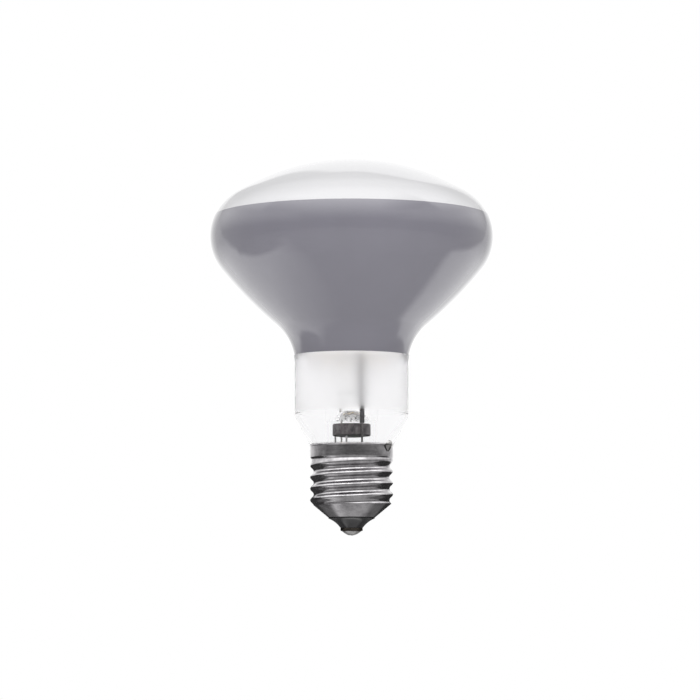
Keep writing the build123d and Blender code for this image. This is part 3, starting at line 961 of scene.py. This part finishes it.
def mirroredRoom(tree, setup):
    # what metal and glass reflect: white backdrop and sweep, softbox overhead, dark sides, dim front
    direction = tree.nodes.new("ShaderNodeTexCoord")
    split = tree.nodes.new("ShaderNodeSeparateXYZ")
    tree.links.new(direction.outputs["Generated"], split.inputs["Vector"])
    across, back, up = split.outputs  # each from -1 to 1
    aside = calc(tree, "ABSOLUTE", across, 0)

    def fade(value, low, high, start=0, end=1):
        return rescale(tree, value, low, high, start, end)

    def times(first, second):
        return calc(tree, "MULTIPLY", first, second)

    def plus(first, second):
        return calc(tree, "ADD", first, second)

    def minus(first, second):
        return calc(tree, "SUBTRACT", first, second)

    def most(first, second):
        return calc(tree, "MAXIMUM", first, second)

    def least(first, second):
        return calc(tree, "MINIMUM", first, second)

    # backdrop and sweep are white between two ends that close in with height
    rise = fade(up, -1, 1)
    edge = setup["softEdge"]
    fromLeft = fade(plus(ramp(tree, rise, backdropEnds["left"]), across), -edge, edge)
    fromRight = fade(minus(ramp(tree, rise, backdropEnds["right"]), across), -edge, edge)
    inside = times(times(fromLeft, fromRight), fade(up, 0.77, 0.82, 1, 0))
    backdrop = times(fade(back, 0.05, 0.2), fade(up, -edge, 0))

    # the sweep on the floor is measured from under the lamp
    drop = most(times(up, -1), 0.02)
    floorX = calc(tree, "DIVIDE", across, drop)
    floorY = calc(tree, "DIVIDE", back, drop)
    behind = fade(plus(floorY, times(floorX, 0.196)), 0.43, 0.8)
    forward = times(least(plus(floorY, 0.02), 0), 1.28)
    left = times(fade(minus(forward, floorX), -0.3, 0.9), fade(up, -0.5, -0.2, 1, 0))
    sweep = times(most(behind, left), fade(up, -edge, 0, 1, 0))
    bright = setup["whiteLevel"]
    far = bright * setup["farShare"]
    level = most(fade(aside, 0.25, 0.6, bright, far), fade(up, -0.3, -0.05, bright, far))
    white = times(plus(backdrop, sweep), times(inside, level))

    # softbox overhead, weaker towards the front and the back, and narrow high up in front
    strength = setup["softboxLevel"]
    front = times(calc(tree, "POWER", fade(up, 0.05, 0.8), 1.5), strength)
    softbox = least(front, fade(back, -0.25, 0.6, strength, 0.72))
    narrow = least(fade(across, 0.35, 0.8, 1, 0.3), fade(across, -0.95, -0.55, 0.6, 1))
    wide = most(fade(up, 0.42, 0.62, 1, 0), fade(back, -0.25, -0.08))
    softbox = times(softbox, most(narrow, wide))

    # sides with a glow above them, and the floor in front
    sides = times(fade(aside, 0.2, 0.7), fade(back, -0.3, 0.6, 0.16, 0.5))
    glow = times(fade(aside, 0.3, 0.8, 0, 0.62), fade(up, 0.08, 0.35))
    dim = setup["dimLevel"]
    floor = ramp(tree, rise, [(0, 0.41), (0.25, 0.42), (0.38, 0.33), (0.435, dim), (1, dim)])
    room = most(plus(sides, glow), floor)
    return most(most(white, softbox), room)


def grey(level):
    return (level, level, level, 1)


def background(tree, colour):
    node = tree.nodes.new("ShaderNodeBackground")
    if isinstance(colour, tuple):
        node.inputs["Color"].default_value = colour
    else:
        tree.links.new(colour, node.inputs["Color"])
    return node.outputs["Background"]


def seenDirectly(tree):
    # by the camera, or through glass
    path = tree.nodes.new("ShaderNodeLightPath")
    return calc(tree, "MAXIMUM", path.outputs["Is Camera Ray"], path.outputs["Is Transmission Ray"])


def buildWorld(setup):
    world = bpy.data.worlds.new("studioWorld")
    bpy.context.scene.world = world
    world.use_nodes = True
    tree = world.node_tree
    tree.nodes.clear()
    output = tree.nodes.new("ShaderNodeOutputWorld")
    path = tree.nodes.new("ShaderNodeLightPath")
    soft = background(tree, grey(setup["softLevel"]))
    mirrored = background(tree, mirroredRoom(tree, setup))
    room = mixShaders(tree, path.outputs["Is Glossy Ray"], soft, mirrored)
    seen = mixShaders(tree, seenDirectly(tree), room, background(tree, grey(1)))
    tree.links.new(seen, output.inputs["Surface"])
    world.cycles.sampling_method = "NONE"  # every ray then finds its own branch


def buildFloor(setup):
    deselectAll()
    bpy.ops.mesh.primitive_plane_add(size=setup["floorSize"], location=(0, 0, setup["floorZ"]))
    floor = bpy.context.object
    floor.name = "studioFloor"
    floor.visible_glossy = False
    finish, tree, output = emptyFinish("paleFloor")
    shader = tree.nodes.new("ShaderNodeBsdfPrincipled")
    spots = noise(tree, objectPlace(tree), 3, 2, 0.5)
    tree.links.new(ramp(tree, spots, [(0.3, 0.86), (0.7, 0.88)]), shader.inputs["Base Color"])
    shader.inputs["Roughness"].default_value = 0.8
    glow = tree.nodes.new("ShaderNodeEmission")
    glow.inputs["Strength"].default_value = setup["floorGlow"]
    shine = calc(tree, "MULTIPLY", seenDirectly(tree), setup["glowShare"])
    pale = mixShaders(tree, shine, shader.outputs["BSDF"], glow.outputs["Emission"])
    # seen from below the floor is clear
    side = tree.nodes.new("ShaderNodeNewGeometry")
    clear = tree.nodes.new("ShaderNodeBsdfTransparent")
    both = mixShaders(tree, side.outputs["Backfacing"], pale, clear.outputs["BSDF"])
    tree.links.new(both, output.inputs["Surface"])
    wear(floor, finish)


def hideLamp(lamp, name, power):
    # it lights, but gloss and glass don't show it
    lamp.name = name
    lamp.data.energy = power
    lamp.visible_camera = False
    lamp.visible_glossy = False
    lamp.visible_transmission = False


def addSoftbox(name, place, turn, size, power):
    deselectAll()
    bpy.ops.object.light_add(type="AREA", location=place, rotation=[radians(angle) for angle in turn])
    lamp = bpy.context.object
    lamp.data.size = size
    hideLamp(lamp, name, power)


def addInsideFill(place, size, power):
    # stands in for the daylight that falls in through the frosted front
    deselectAll()
    bpy.ops.object.light_add(type="POINT", location=place)
    lamp = bpy.context.object
    lamp.data.shadow_soft_size = size
    hideLamp(lamp, "insideFill", power)


# quarter rings behind the cap that only its metal and gloss can see, in metres
ringForm = {
    "radius": 0.03,
    "frontY": -0.007,
    "parts": 64,
    "dark": {"reach": (0.037, 0.045), "lowZ": -0.006},
    "grey": {"reach": (0.048, 0.064), "lowZ": -0.06},
}


def makeCard(name, level, reach):
    # it fades with the length of the ray, so surfaces further off don't show it
    finish, tree, output = emptyFinish(name)
    glow = tree.nodes.new("ShaderNodeEmission")
    glow.inputs["Color"].default_value = grey(level)
    clear = tree.nodes.new("ShaderNodeBsdfTransparent")
    path = tree.nodes.new("ShaderNodeLightPath")
    near = rescale(tree, path.outputs["Ray Length"], *reach, 1, 0)
    faded = mixShaders(tree, near, clear.outputs["BSDF"], glow.outputs["Emission"])
    tree.links.new(faded, output.inputs["Surface"])
    return finish


def addRing(name, level, kind, highZ, side):
    # side is 1 on the right and -1 on the left
    lowZ = ringForm[kind]["lowZ"]
    deselectAll()
    bpy.ops.mesh.primitive_cylinder_add(
        vertices=ringForm["parts"],
        radius=ringForm["radius"],
        depth=highZ - lowZ,
        end_fill_type="NOTHING",
        location=(0, 0, (lowZ + highZ) / 2),
    )
    bpy.ops.object.mode_set(mode="EDIT")
    bpy.ops.mesh.select_all(action="SELECT")
    bpy.ops.mesh.bisect(plane_co=(0, ringForm["frontY"], 0), plane_no=(0, 1, 0), clear_inner=True)
    bpy.ops.mesh.select_all(action="SELECT")
    bpy.ops.mesh.bisect(plane_co=(0, 0, 0), plane_no=(side, 0, 0), clear_inner=True)
    bpy.ops.object.mode_set(mode="OBJECT")
    card = bpy.context.object
    card.name = name
    card.visible_camera = False
    card.visible_diffuse = False
    card.visible_transmission = False
    card.visible_shadow = False
    wear(card, makeCard(name, level, ringForm[kind]["reach"]))


def addCamera(setup):
    rise = radians(setup["cameraRise"])
    away = setup["cameraAway"]
    aimX, aimY, aimZ = setup["aim"]
    deselectAll()
    bpy.ops.object.camera_add(
        location=(aimX, aimY - away * cos(rise), aimZ + away * sin(rise)), rotation=(pi / 2 - rise, 0, 0)
    )
    camera = bpy.context.object
    camera.data.sensor_width = setup["sensorWidth"]
    camera.data.lens = setup["sensorWidth"] * away / setup["frameWidth"]
    bpy.context.scene.camera = camera


buildWorld(studio)
buildFloor(studio)
addRing("darkRingLeft", 0.05, "dark", 0.022, -1)
addRing("darkRingRight", 0.04, "dark", 0.018, 1)
addRing("greyRingLeft", 0.15, "grey", -0.006, -1)
addRing("greyRingRight", 0.15, "grey", -0.006, 1)
addSoftbox("frontSoftbox", (0, -1.95, 0.3), (83, 0, 0), 1.6, 16)
addSoftbox("topSoftbox", (0.1, -0.3, 1.2), (14, 5, 0), 1.2, 3)
addInsideFill((0, 0, 0.088), 0.008, 0.02)
addCamera(studio)
bpy.context.scene.view_settings.view_transform = "Standard"
print("studio set")
